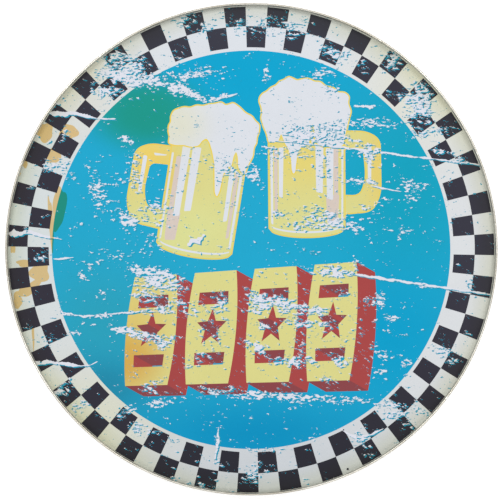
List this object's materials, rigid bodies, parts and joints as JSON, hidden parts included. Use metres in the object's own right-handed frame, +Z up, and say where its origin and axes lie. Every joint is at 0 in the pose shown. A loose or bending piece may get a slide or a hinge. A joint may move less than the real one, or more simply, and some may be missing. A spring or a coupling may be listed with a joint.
{
  "type": "round serving tray",
  "caption": "Low round serving tray: a pressed tinplate pan with a wired rim, a laminated picture face with a checked border, and rubber feet.",
  "frame": {"origin": "middle of the plane that the four feet stand on", "axes": "+Z up, out of the picture face; +Y towards the top of the picture"},
  "size_m": [0.33, 0.33, 0.01],
  "materials": {
    "tinplate": "satin tinplate under a thin warm lacquer",
    "steel_wire": "drawn, unplated",
    "adhesive": "clear acrylic",
    "printed_film": "white film printed in black, blue, yellow and red",
    "clear_film": "semi-gloss, clear",
    "foot_rubber": "matt, moulded",
    "foam_tape": "closed-cell foam"
  },
  "bodies": {
    "root": {"tray_pan": "tinplate", "rim_wire": "steel_wire", "face_adhesive": "adhesive", "face_print": "printed_film", "clear_overlay": "clear_film", "base_feet": "foot_rubber", "foot_tapes": "foam_tape"}
  },
  "joints": []
}
